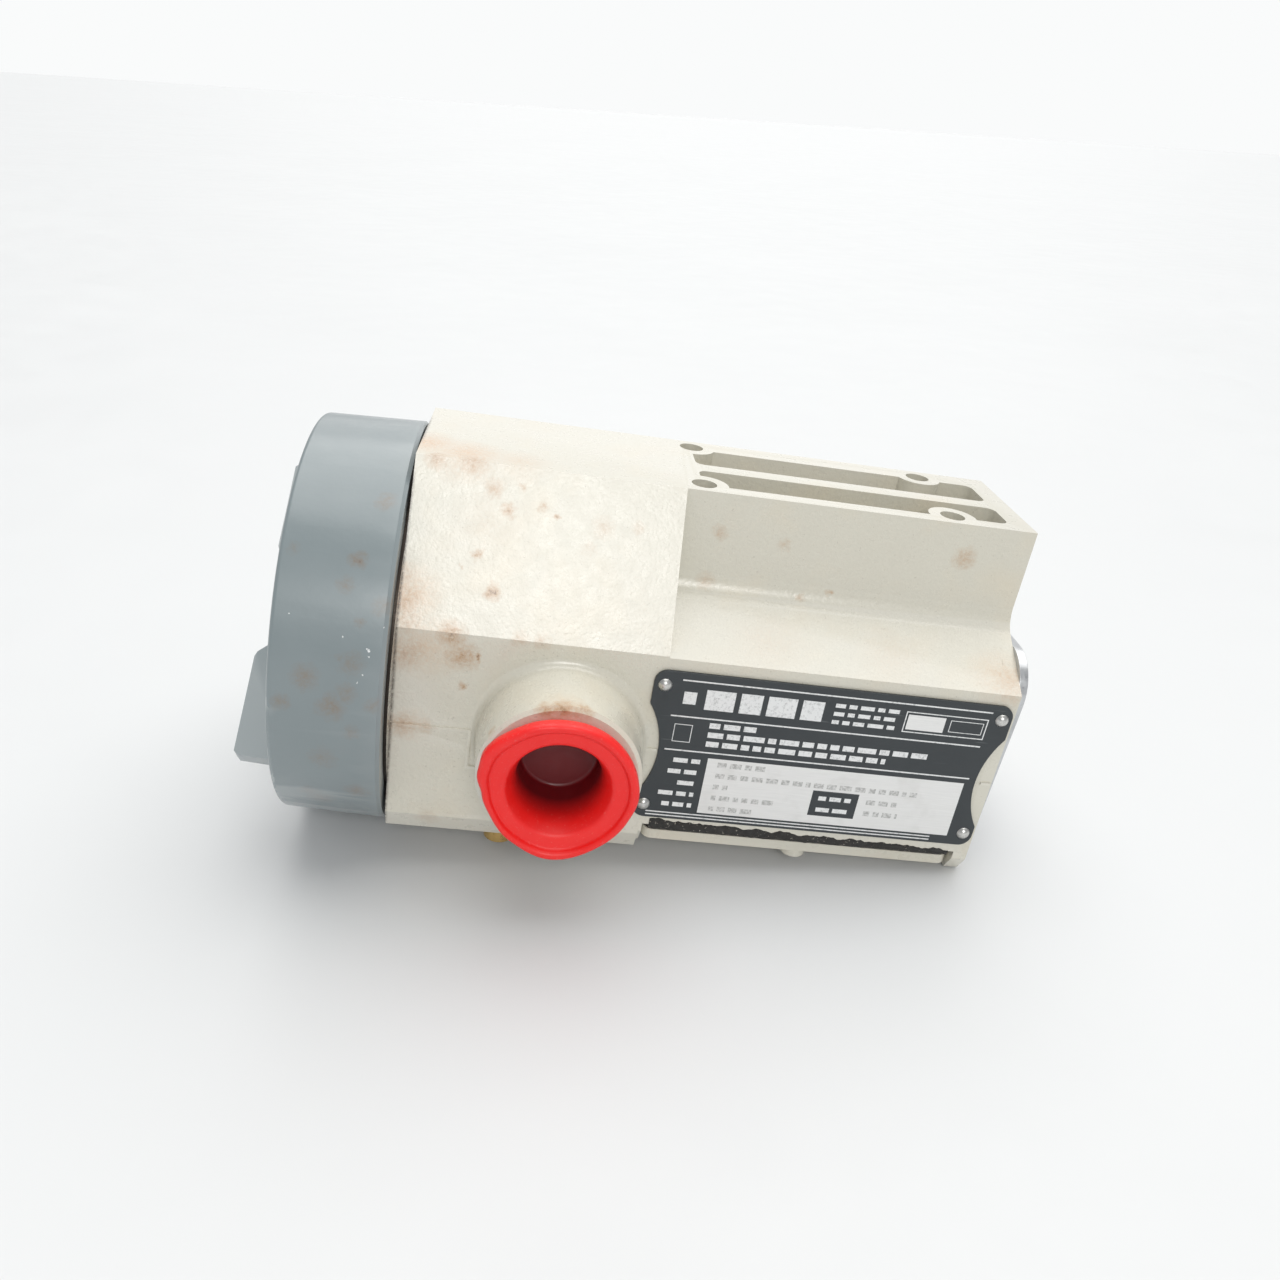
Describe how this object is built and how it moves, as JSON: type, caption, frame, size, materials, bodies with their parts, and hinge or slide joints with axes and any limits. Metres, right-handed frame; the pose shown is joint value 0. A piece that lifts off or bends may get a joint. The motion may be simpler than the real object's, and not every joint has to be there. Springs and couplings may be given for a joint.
{
  "type": "explosion-proof pressure switch",
  "caption": "Explosion-proof diaphragm pressure switch: cast box-and-pad housing, screw cover with wrench lugs, conduit hub with plastic plug, riveted nameplate and steel pressure port.",
  "frame": {"origin": "centre of the four tapped mounting holes, on the plane of the mounting pad", "axes": "+Z out of the mounting pad, +X along the device from the screw cover to the pressure port; the conduit hub points along -Y"},
  "size_m": [0.2214, 0.1251, 0.1138],
  "materials": {
    "epoxy_cream": "satin cream epoxy paint over cast aluminium, with rust spots",
    "paint_grey": "satin blue-grey paint over cast aluminium, scuffed",
    "rubber_black": "matt",
    "plastic_red": "glossy soft plastic",
    "plate_dark": "dark anodised with bare fields",
    "steel_bright": "bright domed heads",
    "gasket_black": "ragged cut edge",
    "painted_screws": "steel screws painted with the body",
    "stainless": "brushed stainless",
    "diaphragm_rubber": "dark rubber",
    "spring_steel": "oiled spring wire",
    "brass": "turned brass",
    "zinc_plated": "zinc plated sheet",
    "phenolic_black": "moulded case",
    "plastic_ivory": "moulded",
    "lead_sleeve": "insulated wire",
    "green_zinc": "green dyed"
  },
  "bodies": {
    "housing": {"housing": "epoxy_cream", "nameplate": "plate_dark", "nameplate_rivets": "steel_bright", "adjustment_gasket": "gasket_black", "clamp_plate": "stainless", "clamp_screws": "steel_bright", "pressure_port": "stainless", "port_o_ring": "rubber_black", "diaphragm": "diaphragm_rubber", "range_spring": "spring_steel", "guide_sleeve": "brass", "switch_bracket": "zinc_plated", "bracket_screws": "steel_bright", "snap_switch": "phenolic_black", "switch_screws": "steel_bright", "switch_terminals": "brass", "terminal_block": "phenolic_black", "terminal_screws": "steel_bright", "leads": "lead_sleeve", "ground_screw": "green_zinc", "outer_ground_screw": "brass"},
    "cover_seal": {"cover_o_ring": "rubber_black"},
    "cover": {"cover": "paint_grey"},
    "conduit_plug": {"conduit_plug": "plastic_red"},
    "adjustment_cover": {"adjustment_cover": "epoxy_cream", "adjustment_screws": "painted_screws"},
    "piston": {"pressure_piston": "steel_bright", "operating_rod": "steel_bright"},
    "spring_seat": {"spring_seat": "steel_bright"},
    "adjusting_nut": {"adjusting_nut": "brass"},
    "switch_plunger": {"switch_plunger": "plastic_ivory"}
  },
  "joints": [
    {"name": "cover_travel", "type": "slide", "parent": "housing", "child": "cover_seal", "axis": [-1, 0, 0], "range_m": [0, 0.0181]},
    {"name": "cover_turn", "type": "hinge", "parent": "cover_seal", "child": "cover", "pos_m": [-0.1181, 0, -0.057], "axis": [-1, 0, 0], "range_deg": [0, 2160]},
    {"name": "plug_pull", "type": "slide", "parent": "housing", "child": "conduit_plug", "axis": [0, -1, 0], "range_m": [0, 0.03]},
    {"name": "adjustment_cover_off", "type": "slide", "parent": "housing", "child": "adjustment_cover", "axis": [0, 0, -1], "range_m": [0, 0.03]},
    {"name": "piston_travel", "type": "slide", "parent": "housing", "child": "piston", "axis": [-1, 0, 0], "range_m": [0, 0.001], "stiffness_N_per_m": 7200, "springref_m": -0.006, "deforming": ["range_spring"]},
    {"name": "plunger_travel", "type": "slide", "parent": "housing", "child": "switch_plunger", "axis": [-1, 0, 0], "range_m": [0, 0.00105]},
    {"name": "seat_travel", "type": "slide", "parent": "housing", "child": "spring_seat", "axis": [1, 0, 0], "range_m": [-0.00605, 0.00905], "deforming": ["range_spring"]},
    {"name": "adjusting_nut_turn", "type": "hinge", "parent": "spring_seat", "child": "adjusting_nut", "pos_m": [-0.0171, 0, -0.0665], "axis": [1, 0, 0], "range_deg": [-1440, 2160]}
  ],
  "couplings": [
    {"joint": "cover_travel", "follows": "cover_turn", "m_per_rad": 0.00047746},
    {"joint": "seat_travel", "follows": "adjusting_nut_turn", "m_per_rad": 0.00023873},
    {"joint": "plunger_travel", "follows": "piston_travel", "ratio": 1}
  ]
}
